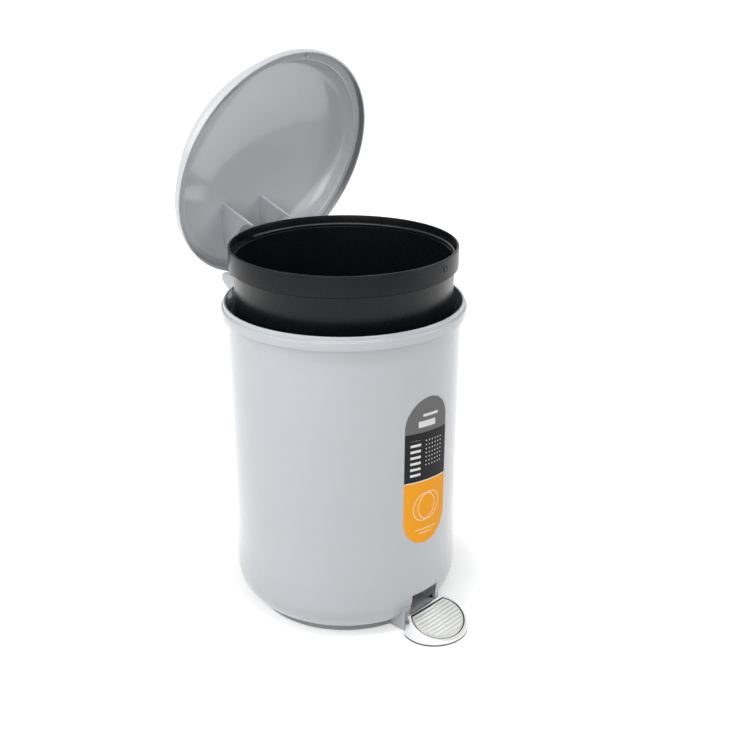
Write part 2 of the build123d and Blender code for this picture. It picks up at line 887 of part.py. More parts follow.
def make_base_plate():
    """The darker foot ring with its floor, cut out for the pedal housing and the rear channel."""
    edge = ring_radius
    plate = upright(edge, floor_gap, plate_top)
    plate -= upright(edge - rim_wall, 0, plate_bottom)
    spigot = upright(spigot_radius, plate_top, plate_top + spigot_height)
    plate += spigot - upright(spigot_radius - spigot_wall, 0, 2 * plate_top + spigot_height)
    front = housing_half + plate_gap
    rear = channel_half_width + channel_wall + plate_gap
    plate -= block(front, -2 * edge, -edge + housing_slot_depth, 0, 2 * plate_top + spigot_height)
    plate -= block(rear, edge - rear_slot_depth, 2 * edge, 0, 2 * plate_top + spigot_height)
    for x in (-1, 1):
        for y in (-1, 1):
            spot = (x * boss_spot, y * boss_spot)
            plate -= upright(boss_radius + 0.2, plate_top, 4 * plate_top, *spot)
            plate -= upright(screw_radius + 0.1, 0, 2 * plate_top, *spot)
            plate -= upright(screw_head_radius + 0.2, 0, plate_bottom + 0.4, *spot)
    for side in (-1, 1):
        plate -= upright(rivet_radius, 0, 2 * plate_top, side * rivet_spacing, 0)
    return plate


def make_foot_pads():
    """Four pads near the rim and one under the lever's saddle."""
    group = [upright(pad_radius, 0, plate_bottom)]
    for x in (-1, 1):
        for y in (-1, 1):
            group.append(upright(pad_radius, 0, plate_bottom, x * pad_x, y * pad_y))
    return group


def make_base_screws():
    group = []
    for x in (-1, 1):
        for y in (-1, 1):
            spot = (x * boss_spot, y * boss_spot)
            head_top = plate_bottom + 0.4
            screw = upright(screw_head_radius, head_top - screw_head_height, head_top, *spot)
            screw += upright(screw_core, head_top, plate_top + screw_length - 1, *spot)
            group.append(screw)
    return group


def make_front_label():
    """A capsule sticker that follows the wall."""
    low = wall_radius_at(label_bottom - label_width) + label_seat_gap
    high = wall_radius_at(label_top + label_width) + label_seat_gap
    skin = revolve_profile(
        [
            (low, label_bottom - label_width),
            (low + label_thickness, label_bottom - label_width),
            (high + label_thickness, label_top + label_width),
            (high, label_top + label_width),
        ]
    )
    middle = (label_top + label_bottom) / 2
    capsule = SlotOverall(label_top - label_bottom, label_width, rotation=90)
    prism = Pos(0, 0, middle) * Rot(90, 0, 0) * extrude(capsule, 2 * band_radius)
    return (skin & prism).rotate(Axis.Z, label_turn)


builders = {
    "outer_body": make_outer_body,
    "base_plate": make_base_plate,
    "foot_pads": make_foot_pads,
    "base_screws": make_base_screws,
    "pivot_saddle": make_pivot_saddle,
    "saddle_rivets": make_saddle_rivets,
    "lever_pivot_pin": make_lever_pivot_pin,
    "pivot_pin_clips": make_pivot_pin_clips,
    "hinge_pin": make_hinge_pin,
    "hinge_pin_washer": make_hinge_pin_washer,
    "rod_guides": make_rod_guides,
    "front_label": make_front_label,
    "lid": make_lid,
    "lid_link_pin": make_lid_link_pin,
    "link_pin_clips": make_link_pin_clips,
    "push_rod": make_push_rod,
    "rod_eye": make_rod_eye,
    "rod_shoe": make_rod_shoe,
    "pedal_lever": make_pedal_lever,
    "pedal_cap": make_pedal_cap,
    "pedal_tread": make_pedal_tread,
    "pedal_push_nuts": make_pedal_push_nuts,
    "inner_bucket": make_inner_bucket,
    "bail_handle": make_bail_handle,
}

for name, build in builders.items():
    shape = build()
    solids = []
    for piece in shape if isinstance(shape, list) else [shape]:
        solids += piece.solids()
    whole = solids[0] if len(solids) == 1 else Compound(children=solids)
    export_step(whole, f"parts/{name}.step")

print("lever swing, degrees", round(lever_swing, 3), "rod travel, mm", round(link_throw, 3))
print("bucket top", round(bucket_top, 2), "handle level", round(handle_level, 2))
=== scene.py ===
import math

import bpy
from mathutils import Matrix, Vector


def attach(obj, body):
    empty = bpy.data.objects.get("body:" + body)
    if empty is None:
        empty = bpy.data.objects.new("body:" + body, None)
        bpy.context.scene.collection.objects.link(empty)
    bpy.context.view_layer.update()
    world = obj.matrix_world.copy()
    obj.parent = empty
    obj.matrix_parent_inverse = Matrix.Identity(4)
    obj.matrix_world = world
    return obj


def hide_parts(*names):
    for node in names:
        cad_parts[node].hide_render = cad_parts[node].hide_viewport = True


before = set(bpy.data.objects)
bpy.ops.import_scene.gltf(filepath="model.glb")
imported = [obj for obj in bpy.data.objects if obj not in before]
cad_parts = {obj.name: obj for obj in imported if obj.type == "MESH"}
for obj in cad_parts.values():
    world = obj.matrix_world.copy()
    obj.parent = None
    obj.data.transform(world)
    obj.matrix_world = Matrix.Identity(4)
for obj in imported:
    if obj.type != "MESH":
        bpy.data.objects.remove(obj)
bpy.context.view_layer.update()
scene = bpy.context.scene
scene.view_settings.view_transform = "Standard"


# Moulded shell of the bin: one drafted wall of glossy polypropylene with a
# stepped bead at the mouth, a rounded foot and a raised floor. It is turned
# from its section, in millimetres, then cut for the pedal and the hinge.
MM = 0.001
MERGE_GAP = 2e-6
WALL_THICK = 1.8
FLOOR_LOW = 30.0
FLOOR_TOP = 32.0
FOOT_CENTRE = (55.0, 27.19)
FOOT_ROUND = 25.0
DRAFT_BREAK = 122.0
WALL_TOP = 81.2
STOP_IN = 77.65
STOP_TOP = 204.4
BEAD_OUT = 85.0
BEAD_LOW = 218.6
LEDGE = 225.0
LIP_IN = 81.65
LIP_OUT = 83.45
LIP_TOP = 228.0
LIP_ROUND = 0.9
HINGE_GAP = 21.3
CHANNEL_HALF = 5
CHANNEL_BACK = 88.2
CHEEK = 18.3
CHEEK_FRONT = 78.6
CHEEK_WALL = 2.2
OPENING = 13.0
OPENING_TOP = 28.0


def rest_all():
    """Leaves nothing selected, so that an operator acts on its own piece only."""
    bpy.ops.object.select_all(action="DESELECT")


def settle():
    """Moves the place, turn and size of what is selected into its mesh."""
    bpy.ops.object.transform_apply(location=True, rotation=True, scale=True)


def arc_at(centre, radius, angles):
    """Points on an arc in the section, at the given angles in degrees."""
    turns = [math.radians(angle) for angle in angles]
    return [(centre[0] + radius * math.cos(turn), centre[1] + radius * math.sin(turn)) for turn in turns]


def arc_run(centre, radius, start, end, steps):
    """Points on an arc in the section, from one angle to another in degrees."""
    return arc_at(centre, radius, [start + (end - start) * step / steps for step in range(steps + 1)])


def chain(points, to_place):
    """A closed run of edges in a new mesh, drawn point by point, left in edit mode."""
    rest_all()
    first = to_place(points[0])
    bpy.ops.mesh.primitive_plane_add(size=MM, location=first)
    piece = bpy.context.object
    settle()
    bpy.ops.object.mode_set(mode="EDIT")
    bpy.ops.mesh.select_mode(type="VERT")
    bpy.ops.mesh.select_all(action="SELECT")
    bpy.ops.mesh.merge(type="CENTER")
    last = first
    for point in points[1:] + points[:1]:
        place = to_place(point)
        bpy.ops.mesh.extrude_region_move(TRANSFORM_OT_translate={"value": place - last})
        last = place
    bpy.ops.mesh.select_all(action="SELECT")
    bpy.ops.mesh.remove_doubles(threshold=MERGE_GAP)
    return piece


def turned(name, section, steps):
    """A wall turned about the upright axis from a section of radius and height."""
    piece = chain(section, lambda p: Vector((p[0] * MM, 0.0, p[1] * MM)))
    bpy.ops.mesh.spin(steps=steps, angle=2 * math.pi, center=(0, 0, 0), axis=(0, 0, 1))
    bpy.ops.mesh.select_all(action="SELECT")
    bpy.ops.mesh.remove_doubles(threshold=MERGE_GAP)
    bpy.ops.mesh.normals_make_consistent(inside=False)
    bpy.ops.object.mode_set(mode="OBJECT")
    piece.name = name
    return piece


def block(low, high, name="cutter"):
    """A square-edged block between two corners, in millimetres."""
    rest_all()
    middle = [(a + b) / 2 * MM for a, b in zip(low, high)]
    bpy.ops.mesh.primitive_cube_add(size=1, location=middle)
    piece = bpy.context.object
    piece.scale = [(b - a) * MM for a, b in zip(low, high)]
    settle()
    piece.name = name
    return piece


def pick(piece):
    """Selects one piece alone and makes it the one that the next step works on."""
    rest_all()
    bpy.context.view_layer.objects.active = piece
    piece.select_set(True)


def combine(piece, tool, way="DIFFERENCE"):
    """The piece cut by, joined with or kept inside a tool, which is then gone."""
    pick(piece)
    change = piece.modifiers.new("shape", "BOOLEAN")
    change.operation = way
    change.solver = "EXACT"
    change.object = tool
    bpy.ops.object.modifier_apply(modifier=change.name)
    bpy.data.objects.remove(tool, do_unlink=True)


def smooth(piece, angle):
    """Smooth shading that keeps the real corners."""
    pick(piece)
    bpy.ops.object.shade_smooth_by_angle(angle=math.radians(angle))
    rest_all()


def effect_group(name, inputs):
    """An empty surface effect with its inputs, which gives colour, roughness and relief."""
    tree = bpy.data.node_groups.new(name, "ShaderNodeTree")
    for label, kind, value in inputs:
        socket = tree.interface.new_socket(label, in_out="INPUT", socket_type=kind)
        socket.default_value = value
    for label, kind in (("Colour", "Color"), ("Roughness", "Float"), ("Normal", "Vector")):
        tree.interface.new_socket(label, in_out="OUTPUT", socket_type="NodeSocket" + kind)
    return tree, tree.nodes.new("NodeGroupInput"), tree.nodes.new("NodeGroupOutput")


def noise(tree, vector, scale, detail, rough):
    """A noise texture at so many ripples to the metre."""
    node = tree.nodes.new("ShaderNodeTexNoise")
    node.inputs["Scale"].default_value = scale
    node.inputs["Detail"].default_value = detail
    node.inputs["Roughness"].default_value = rough
    tree.links.new(vector, node.inputs["Vector"])
    return node.outputs["Fac"]


def maths(tree, operation, first, second=None, clamp=False):
    """One step of arithmetic between sockets or numbers."""
    node = tree.nodes.new("ShaderNodeMath")
    node.operation = operation
    node.use_clamp = clamp
    for index, value in enumerate((first, second)):
        if isinstance(value, (int, float)):
            node.inputs[index].default_value = value
        elif value is not None:
            tree.links.new(value, node.inputs[index])
    return node.outputs[0]


def stir(tree, share, first, second):
    """A mix of two colours by a share."""
    node = tree.nodes.new("ShaderNodeMix")
    node.data_type = "RGBA"
    for socket, value in (("Factor", share), ("A", first), ("B", second)):
        spot = [s for s in node.inputs if s.name == socket and s.enabled][0]
        if isinstance(value, tuple):
            spot.default_value = value
        else:
            tree.links.new(value, spot)
    return [s for s in node.outputs if s.enabled][0]


def relief(tree, height, strength, distance, under=None):
    """Fine relief from a height, over another relief where there is one."""
    bump = tree.nodes.new("ShaderNodeBump")
    bump.inputs["Distance"].default_value = distance
    tree.links.new(height, bump.inputs["Height"])
    tree.links.new(strength, bump.inputs["Strength"])
    if under is not None:
        tree.links.new(under, bump.inputs["Normal"])
    return bump.outputs["Normal"]


def uneven_gloss(tree, given, gives, coarse, fine, coarse_share, spread):
    """Roughness that wanders round its own value with two sizes of mark."""
    blend = maths(tree, "ADD", maths(tree, "MULTIPLY", coarse, coarse_share),
                  maths(tree, "MULTIPLY", fine, 1 - coarse_share))
    swing = maths(tree, "MULTIPLY", maths(tree, "SUBTRACT", blend, 0.5), given.outputs[spread])
    rough = maths(tree, "ADD", maths(tree, "MULTIPLY", swing, 2.0), given.outputs["Roughness"], clamp=True)
    tree.links.new(rough, gives.inputs["Roughness"])


def moulded_skin_group():
    """Moulded plastic: faint cloudiness, handling marks, flow ripples and a fine grain."""
    tree, given, gives = effect_group("moulded_skin", [
        ("Colour", "NodeSocketColor", (0.5, 0.5, 0.5, 1)),
        ("Cloud", "NodeSocketFloat", 0.05),
        ("Roughness", "NodeSocketFloat", 0.2),
        ("Marks", "NodeSocketFloat", 0.06),
        ("Ripple", "NodeSocketFloat", 0.1),
        ("Grain", "NodeSocketFloat", 0.05),
    ])
    place = tree.nodes.new("ShaderNodeTexCoord").outputs["Object"]
    cloud = maths(tree, "MULTIPLY", noise(tree, place, 26.0, 3.0, 0.55), given.outputs["Cloud"])
    darker = stir(tree, cloud, given.outputs["Colour"], (0.02, 0.022, 0.025, 1))
    tree.links.new(darker, gives.inputs["Colour"])
    smear = noise(tree, place, 75.0, 6.0, 0.62)
    fine = noise(tree, place, 900.0, 3.0, 0.6)
    uneven_gloss(tree, given, gives, smear, fine, 0.7, "Marks")
    flow = relief(tree, noise(tree, place, 16.0, 1.0, 0.4), given.outputs["Ripple"], 0.0012)
    grain = relief(tree, noise(tree, place, 1500.0, 2.0, 0.5), given.outputs["Grain"], 0.00012, flow)
    tree.links.new(grain, gives.inputs["Normal"])
    return tree


def surfaced(name, effect, **values):
    """A material whose colour, roughness and relief come from one surface effect."""
    material = bpy.data.materials.new(name)
    material.use_nodes = True
    tree = material.node_tree
    shader = tree.nodes["Principled BSDF"]
    surface = tree.nodes.new("ShaderNodeGroup")
    surface.node_tree = effect
    for label, value in values.items():
        surface.inputs[label].default_value = value
    for given, taken in (("Colour", "Base Color"), ("Roughness", "Roughness"), ("Normal", "Normal")):
        tree.links.new(surface.outputs[given], shader.inputs[taken])
    return material, shader


moulded_skin = moulded_skin_group()


def plastic(name, colour, rough, cloud, marks, ripple, grain, coat=0.0, shine=0.5):
    """A moulded plastic with its own shade and gloss."""
    material, shader = surfaced(name, moulded_skin, Colour=(*colour, 1), Cloud=cloud, Roughness=rough,
                                Marks=marks, Ripple=ripple, Grain=grain)
    shader.inputs["Coat Weight"].default_value = coat
    shader.inputs["Coat Roughness"].default_value = 0.05
    shader.inputs["Specular IOR Level"].default_value = shine
    return material


def finish_piece(piece, material, body, slot, *stands_for):
    """Gives a piece its material and its place on the moving model."""
    piece.data.materials.clear()
    piece.data.materials.append(material)
    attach(piece, body)
    if stands_for:
        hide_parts(*stands_for)


shell_grey = plastic("shell_grey", (0.467, 0.487, 0.509), 0.20, cloud=0.03, marks=0.05,
                     ripple=0.08, grain=0.04, coat=0.45)

shell_section = [(0.0, FLOOR_LOW), (78.2, FLOOR_LOW)]
shell_section += arc_run(FOOT_CENTRE, FOOT_ROUND - WALL_THICK, 0, -77.6, 14)
shell_section += arc_run(FOOT_CENTRE, FOOT_ROUND, -65.1, 0, 20)
shell_section += [(80.6, DRAFT_BREAK), (WALL_TOP, BEAD_LOW)]
shell_section += arc_run((BEAD_OUT - 0.4, BEAD_LOW + 0.4), 0.4, -90, 0, 3)
shell_section += arc_run((BEAD_OUT - 1.1, LEDGE - 1.1), 1.1, 0, 90, 6)
shell_section += [(LIP_OUT + 0.2, LEDGE), (LIP_OUT, LEDGE + 0.2)]
shell_section += arc_run((LIP_OUT - LIP_ROUND, LIP_TOP - LIP_ROUND), LIP_ROUND, 0, 180, 10)
shell_section += [(LIP_IN, LEDGE), (79.4, BEAD_LOW), (79.4, STOP_TOP + 0.35)]
shell_section += [(79.1, STOP_TOP), (STOP_IN + 0.25, STOP_TOP), (STOP_IN, STOP_TOP - 0.3)]
shell_section += [(STOP_IN, 202.6), (79.2, 198.4), (78.75, DRAFT_BREAK), (78.2, 36.0)]
shell_section += arc_run((74.4, FLOOR_TOP + 3.8), 3.8, 0, -90, 6)
shell_section += [(0.0, FLOOR_TOP)]
body_shell = turned("body_shell", shell_section, steps=288)
combine(body_shell, block((-HINGE_GAP, 40, 211.5), (HINGE_GAP, 180, 300)))
combine(body_shell, block((-CHANNEL_HALF, 40, 208.2), (CHANNEL_HALF, CHANNEL_BACK, 300)))
combine(body_shell, block((-OPENING, -120, -5), (OPENING, -25, OPENING_TOP)))
combine(body_shell, block((CHEEK_WALL - CHEEK, CHEEK_WALL - CHEEK_FRONT, -5),
                          (CHEEK - CHEEK_WALL, -25, OPENING_TOP - 0.1)))
smooth(body_shell, 30)
finish_piece(body_shell, shell_grey, "bin", "body_plastic", "outer_body")


# Pedal housing: the same moulding carried straight down from the wall round
# the lever's opening, with two cheeks whose front edges are rounded over.
def drawn_out(outline, to_place, move):
    """A flat outline, filled and drawn out by one move."""
    piece = chain(outline, to_place)
    bpy.ops.mesh.edge_face_add()
    bpy.ops.mesh.extrude_region_move(TRANSFORM_OT_translate={"value": move})
    bpy.ops.mesh.select_all(action="SELECT")
    bpy.ops.mesh.normals_make_consistent(inside=False)
    bpy.ops.object.mode_set(mode="OBJECT")
    return piece


def upright(plan, low, high):
    """A plan of across and along, drawn upwards between two heights."""
    return drawn_out(plan, lambda p: Vector((p[0] * MM, p[1] * MM, low * MM)), (0, 0, (high - low) * MM))


def sideways(profile, low, high):
    """A side view of along and height, drawn across between two places."""
    return drawn_out(profile, lambda p: Vector((low * MM, p[0] * MM, p[1] * MM)), ((high - low) * MM, 0, 0))


def front_run(radius, half):
    """The front of the housing keeps the roundness of the wall."""
    edge = math.asin(half / radius)
    turns = [-edge + 2 * edge * step / 12 for step in range(13)]
    return [(radius * math.sin(turn), -radius * math.cos(turn)) for turn in turns]


def soften(piece, width, segments, angle):
    """Rounds the sharp edges as a mould or a press leaves them."""
    pick(piece)
    edge = piece.modifiers.new("edges", "BEVEL")
    edge.width = width * MM
    edge.segments = segments
    edge.limit_method = "ANGLE"
    edge.angle_limit = math.radians(angle)
    edge.miter_outer = "MITER_ARC"
    bpy.ops.object.modifier_apply(modifier=edge.name)


pedal_housing = upright([(CHEEK, -52), (-CHEEK, -52)] + front_run(CHEEK_FRONT, CHEEK), 0.5, 28.5)
pedal_housing.name = "pedal_housing"
inner_half = CHEEK - CHEEK_WALL
inner_plan = [(inner_half, -40), (-inner_half, -40)] + front_run(CHEEK_FRONT - CHEEK_WALL, inner_half)
combine(pedal_housing, upright(inner_plan, -2, OPENING_TOP))
combine(pedal_housing, block((-OPENING, -100, -5), (OPENING, -45, OPENING_TOP)))
soften(pedal_housing, 0.7, 4, 50)
smooth(pedal_housing, 40)
finish_piece(pedal_housing, shell_grey, "bin", "body_plastic")


# Rear channel and hinge lugs: a square spine up the back for the push rod,
# and two short ears on the bead that hold the hinge pin.
PIN_BACK = 91.5
PIN_HIGH = 221.5
SPINE_HALF = 7
SPINE_BACK = 90.2
SPINE_TOP = 211
LUG_IN = 21.5
LUG_OUT = 27.0
LUG_ROUND = 9.5

spine_side = [(58, 0.5), (SPINE_BACK, 0.5), (SPINE_BACK, SPINE_TOP), (79.7, SPINE_TOP), (79.7, 29), (58, 29)]
rear_channel = sideways(spine_side, -SPINE_HALF, SPINE_HALF)
rear_channel.name = "rear_channel"
for front, low, high in ((82.7, -5, 240), (40, 208.1, 240), (50, -5, 28.2)):
    combine(rear_channel, block((-CHANNEL_HALF, front, low), (CHANNEL_HALF, CHANNEL_BACK, high)))
soften(rear_channel, 0.6, 3, 50)
smooth(rear_channel, 40)
finish_piece(rear_channel, shell_grey, "bin", "body_plastic")

lug_side = [(79.6, 212), (82.6, 213.2), (91, 217.9), (99.5, 224.5)]
lug_side += [(99.5, 229.0), (98.6, 230.4), (97.2, 231.0)]
lug_side += arc_run((PIN_BACK, PIN_HIGH), LUG_ROUND, 90, 150, 4)
lug_side += [(82.6, 224.9), (79.6, 224.9)]
for side, name in ((-1, "hinge_lug_left"), (1, "hinge_lug_right")):
    lug = sideways(lug_side, *sorted((side * LUG_IN, side * LUG_OUT)))
    lug.name = name
    soften(lug, 0.9, 4, 35)
    smooth(lug, 40)
    finish_piece(lug, shell_grey, "bin", "body_plastic")


# Base ring: a darker foot pressed up into the shell, with a raised floor.
# It is turned, then cut for the pedal housing and for the rear channel.
BASE_OUT = 65.5
BASE_IN = 62.0
BASE_LOW = 0.5
BASE_FLOOR = 2.5
BASE_TOP = 4.5
SPIGOT_OUT = 59.7
SPIGOT_IN = 57.7
SPIGOT_TOP = 8.0
BASE_GAP = 0.2

base_dark = plastic("base_dark", (0.27, 0.28, 0.285), 0.42, cloud=0.10, marks=0.10, ripple=0.04, grain=0.25)
base_section = [(0, BASE_FLOOR), (BASE_IN - 0.2, BASE_FLOOR), (BASE_IN, BASE_FLOOR - 0.2)]
base_section += [(BASE_IN, BASE_LOW + 0.2), (BASE_IN + 0.3, BASE_LOW), (BASE_OUT - 0.6, BASE_LOW)]
base_section += [(BASE_OUT, BASE_LOW + 0.5), (BASE_OUT, BASE_TOP - 0.02), (SPIGOT_OUT, BASE_TOP)]
base_section += [(SPIGOT_OUT, SPIGOT_TOP - 0.3), (SPIGOT_OUT - 0.3, SPIGOT_TOP)]
base_section += [(SPIGOT_IN + 0.2, SPIGOT_TOP), (SPIGOT_IN, SPIGOT_TOP - 0.2)]
base_section += [(SPIGOT_IN, BASE_TOP), (0, BASE_TOP)]
base_ring = turned("base_ring", base_section, steps=192)
combine(base_ring, block((-CHEEK - BASE_GAP, -120, -5), (CHEEK + BASE_GAP, -53.7, 20)))
combine(base_ring, block((-SPINE_HALF - BASE_GAP, 55.7, -5), (SPINE_HALF + BASE_GAP, 120, 20)))
smooth(base_ring, 30)
finish_piece(base_ring, base_dark, "bin", "base_plastic", "base_plate")


# Lid: one glossy dome with a flat seat and a lip that drops outside the
# body's lip. It is modelled closed, then swung up to where it stands open.
SEAT = 228.15
SEAT_IN = 78.1
SEAT_OUT = 83.8
BRIM_TOP = 229.95
SKIRT_IN = 83.75
SKIRT_LOW = 225.15
DOME_REACH = 79.0
DOME_TOP = 260.0
DOME_CORNER = 18.0
DOME_STEPS = 14
OPEN_ANGLE = 71.5
# Painted light: the lid is the body's plastic made lighter, to stand in for light inside the open lid.
LID_LIGHTENED_COLOUR = (0.590, 0.610, 0.632)


def dome_run(inset):
    """The dome's section from its foot to the middle, at a depth below its outside."""
    across = DOME_REACH - DOME_CORNER
    rise = DOME_TOP - BRIM_TOP
    crown = (across**2 + rise**2 - DOME_CORNER**2) / (2 * (rise - DOME_CORNER))
    lean = 90 - math.degrees(math.atan2(across, crown - rise))
    run = arc_run((across, BRIM_TOP), DOME_CORNER - inset, 0, lean, DOME_STEPS)
    run += arc_run((0, DOME_TOP - crown), crown - inset, lean, 90, DOME_STEPS * 2)[1:]
    run[-1] = (0.0, DOME_TOP - inset)
    return run


def opened(piece):
    """Swings a piece of the closed lid up about the hinge pin."""
    pin = Vector((0, PIN_BACK * MM, PIN_HIGH * MM))
    swing = Matrix.Rotation(math.radians(-OPEN_ANGLE), 4, "X")
    pick(piece)
    piece.matrix_world = Matrix.Translation(pin) @ swing @ Matrix.Translation(-pin) @ piece.matrix_world
    settle()


lid_section = arc_run((DOME_REACH - 0.1, SEAT + 1.7), 1.7, 180, 270, 8)
lid_section += [(SKIRT_IN - 0.25, SEAT), (SKIRT_IN, SEAT - 0.2), (SKIRT_IN, SKIRT_LOW + 0.25)]
lid_section += [(SKIRT_IN + 0.25, SKIRT_LOW), (BEAD_OUT - 0.3, SKIRT_LOW), (BEAD_OUT, SKIRT_LOW + 0.3)]
lid_section += arc_run((BEAD_OUT - 0.9, BRIM_TOP - 0.9), 0.9, 0, 90, 6)
lid_section += [(DOME_REACH + 1, BRIM_TOP), (DOME_REACH + 0.3, BRIM_TOP + 0.2)]
lid_section += dome_run(0)[1:]
lid_section += list(reversed(dome_run(WALL_THICK)))
lid_dome = turned("lid_dome", lid_section, steps=256)
combine(lid_dome, block((3.4, -83.9, 220), (8.6, -82.2, 230.8)))
smooth(lid_dome, 32)
opened(lid_dome)


def lid_plastic(name):
    """The body's plastic, made lighter for the lid as painted light for the open lid's inside."""
    return plastic(name, LID_LIGHTENED_COLOUR, 0.22, cloud=0.03, marks=0.05, ripple=0.05, grain=0.03, coat=0.6)


def painted_seat_shade(material):
    """Paints shade into the lid's flat seat band, darkest towards the free end and the right, where the seat
    lies in its own shade.
    """
    tree = material.node_tree
    skin = [n for n in tree.nodes if n.type == "GROUP"][0]
    swing = Matrix.Rotation(math.radians(-OPEN_ANGLE), 3, "X")
    pin = Vector((0, PIN_BACK, PIN_HIGH))
    centre = (pin + swing @ (Vector((0, 0, SEAT)) - pin)) * MM
    up = swing @ Vector((0, 0, 1))
    side = (swing @ Vector((0.75, -1.0, 0))).normalized()
    place = tree.nodes.new("ShaderNodeTexCoord").outputs["Object"]

    def vector_step(operation, result, first, second=None):
        node = tree.nodes.new("ShaderNodeVectorMath")
        node.operation = operation
        for index, value in enumerate((first, second)):
            if isinstance(value, Vector):
                node.inputs[index].default_value = value
            elif value is not None:
                tree.links.new(value, node.inputs[index])
        return node.outputs[result]

    offset = vector_step("SUBTRACT", "Vector", place, centre)
    height = vector_step("DOT_PRODUCT", "Value", offset, up)
    far = vector_step("LENGTH", "Value", offset)
    along = vector_step("DOT_PRODUCT", "Value", vector_step("NORMALIZE", "Vector", offset), side)
    outside = maths(tree, "GREATER_THAN", far, SEAT_IN * MM)
    inside = maths(tree, "LESS_THAN", far, SEAT_OUT * MM)
    low = maths(tree, "LESS_THAN", height, 0.6 * MM)
    band = maths(tree, "MULTIPLY", maths(tree, "MULTIPLY", outside, inside), low)
    shade = tree.nodes.new("ShaderNodeMapRange")
    shade.interpolation_type = "SMOOTHSTEP"
    shade.inputs["From Min"].default_value = -0.25
    shade.inputs["From Max"].default_value = 0.45
    shade.inputs["To Max"].default_value = 0.72
    tree.links.new(along, shade.inputs["Value"])
    share = maths(tree, "MULTIPLY", band, shade.outputs["Result"])
    # Painted shade: the seat band is mixed towards dark grey.
    colour = stir(tree, share, (*LID_LIGHTENED_COLOUR, 1), (0.10, 0.104, 0.11, 1))
    tree.links.new(colour, skin.inputs["Colour"])


lid_grey = lid_plastic("lid_grey")
lid_shell = lid_plastic("lid_shell")
painted_seat_shade(lid_shell)
finish_piece(lid_dome, lid_shell, "lid", "lid_plastic", "lid")

lid_tab = block((9.0, -80.6, 226.3), (10.4, -79.4, 228.6), "lid_tab")
soften(lid_tab, 0.3, 2, 50)
smooth(lid_tab, 40)
opened(lid_tab)
finish_piece(lid_tab, lid_grey, "lid", "lid_plastic")


# Lid ribs: two flat ribs moulded with the dome, hollowed by an arch inside
# it, that run on past its wall as the arms round the hinge pin and the link.
ARM = 18.0
ARM_FRONT = 40.3
RIB_HALF = 1
RIB_DEPTH = 0.9
CROWN_START = 44.6
ARCH_MID = (59.9, 219.0)
ARCH_HALF = 18.4
ARCH_RISE = 13.2
LINK_PIN = (84.2, 216.24)
LINK_BOSS = 2.8
HINGE_BOSS = 3.5
BOSS_LONG = 4.0


def in_wall(reach, height):
    """A point of the dome's wall, brought to the rib's outer face."""
    rib_side = ARM + RIB_HALF
    return (math.sqrt(reach * reach - rib_side * rib_side), height)


def arch_run():
    """The arch that hollows the rib, a flattened half round."""
    run = []
    for angle in range(0, 181, 10):
        turn = math.radians(angle)
        run.append((ARCH_MID[0] - ARCH_HALF * math.cos(turn), ARCH_MID[1] + ARCH_RISE * math.sin(turn)))
    return run


def round_bar(radius, long, place, turn, facets):
    """A plain round bar at its place and turn."""
    rest_all()
    bpy.ops.mesh.primitive_cylinder_add(vertices=facets, radius=radius * MM, depth=long * MM,
                                        location=[value * MM for value in place], rotation=turn)
    settle()
    return bpy.context.object


crown_points = [in_wall(*p) for p in dome_run(RIB_DEPTH) if p[0] > CROWN_START]
arm_side = [(ARM_FRONT, ARCH_MID[1])]
arm_side += arch_run()
arm_side += [(81.4, 217.2)]
arm_side += arc_at(LINK_PIN, LINK_BOSS, (210, 240, 270, 300, 325))
arm_side += arc_at((PIN_BACK, PIN_HIGH), HINGE_BOSS, (-65, -30, 0, 30, 60))
arm_side += [(84.6, 229.2), (77.0, 229.5)] + crown_points[1:]
arm_side += [(ARM_FRONT, crown_points[-1][1] + 0.2)]
for side, name in ((-1, "lid_rib_left"), (1, "lid_rib_right")):
    rib = sideways(arm_side, side * ARM - RIB_HALF, side * ARM + RIB_HALF)
    rib.name = name
    soften(rib, 0.55, 3, 40)
    for (back, high), radius in (((PIN_BACK, PIN_HIGH), HINGE_BOSS), (LINK_PIN, LINK_BOSS)):
        boss = round_bar(radius, BOSS_LONG, (side * ARM, back, high), (0, math.pi / 2, 0), 40)
        soften(boss, 0.3, 2, 40)
        combine(rib, boss, "UNION")
    smooth(rib, 40)
    opened(rib)
    finish_piece(rib, lid_grey, "lid", "lid_plastic")


# Inner bucket: near-black polypropylene, satin outside and a little grained.
# Its collar is wider than the wall and has a ledge inside for the handle.
# A raised ring stands round each of the handle's two holes.
BUCKET_LOW = 82.0
BUCKET_TOP = 266.3
COLLAR_LOW = 251.8
COLLAR_OUT = 78.6
COLLAR_IN = 77.2
SHELF_IN = 74.2
SHELF_TOP = 258.8
HANDLE_TURN = math.radians(12.5)
HANDLE_HIGH = 260.2
HOLE = 1.16
HOLE_RING = 2.3
HOLE_RING_WIRE = 0.45
HOLE_RING_REACH = 78.5

bucket_section = [(0, BUCKET_LOW + 1), (61.0, BUCKET_LOW + 1)] + arc_run((60.3, 91.0), 8.0, -80, -4, 8)
bucket_section += [(SHELF_IN, COLLAR_LOW), (SHELF_IN, SHELF_TOP - 0.4), (SHELF_IN + 0.4, SHELF_TOP)]
bucket_section += [(COLLAR_IN, SHELF_TOP), (COLLAR_IN, BUCKET_TOP - 0.4)]
bucket_section += arc_run((COLLAR_IN + 0.4, BUCKET_TOP - 0.4), 0.4, 180, 90, 3)
bucket_section += arc_run((COLLAR_OUT - 0.6, BUCKET_TOP - 0.6), 0.6, 90, 0, 4)
bucket_section += [(COLLAR_OUT, COLLAR_LOW + 0.4), (COLLAR_OUT - 0.4, COLLAR_LOW), (76.1, 251.7)]
bucket_section += [(75.9, 251.3), (70.0, 90.5)] + arc_run((62.0, 89.3), 8.0, 0, -90, 8)
bucket_section += [(58.0, BUCKET_LOW), (0, BUCKET_LOW)]
bucket = turned("bucket", bucket_section, steps=256)
combine(bucket, round_bar(HOLE, 200, (0, 0, HANDLE_HIGH), (math.pi / 2, 0, HANDLE_TURN), 32))
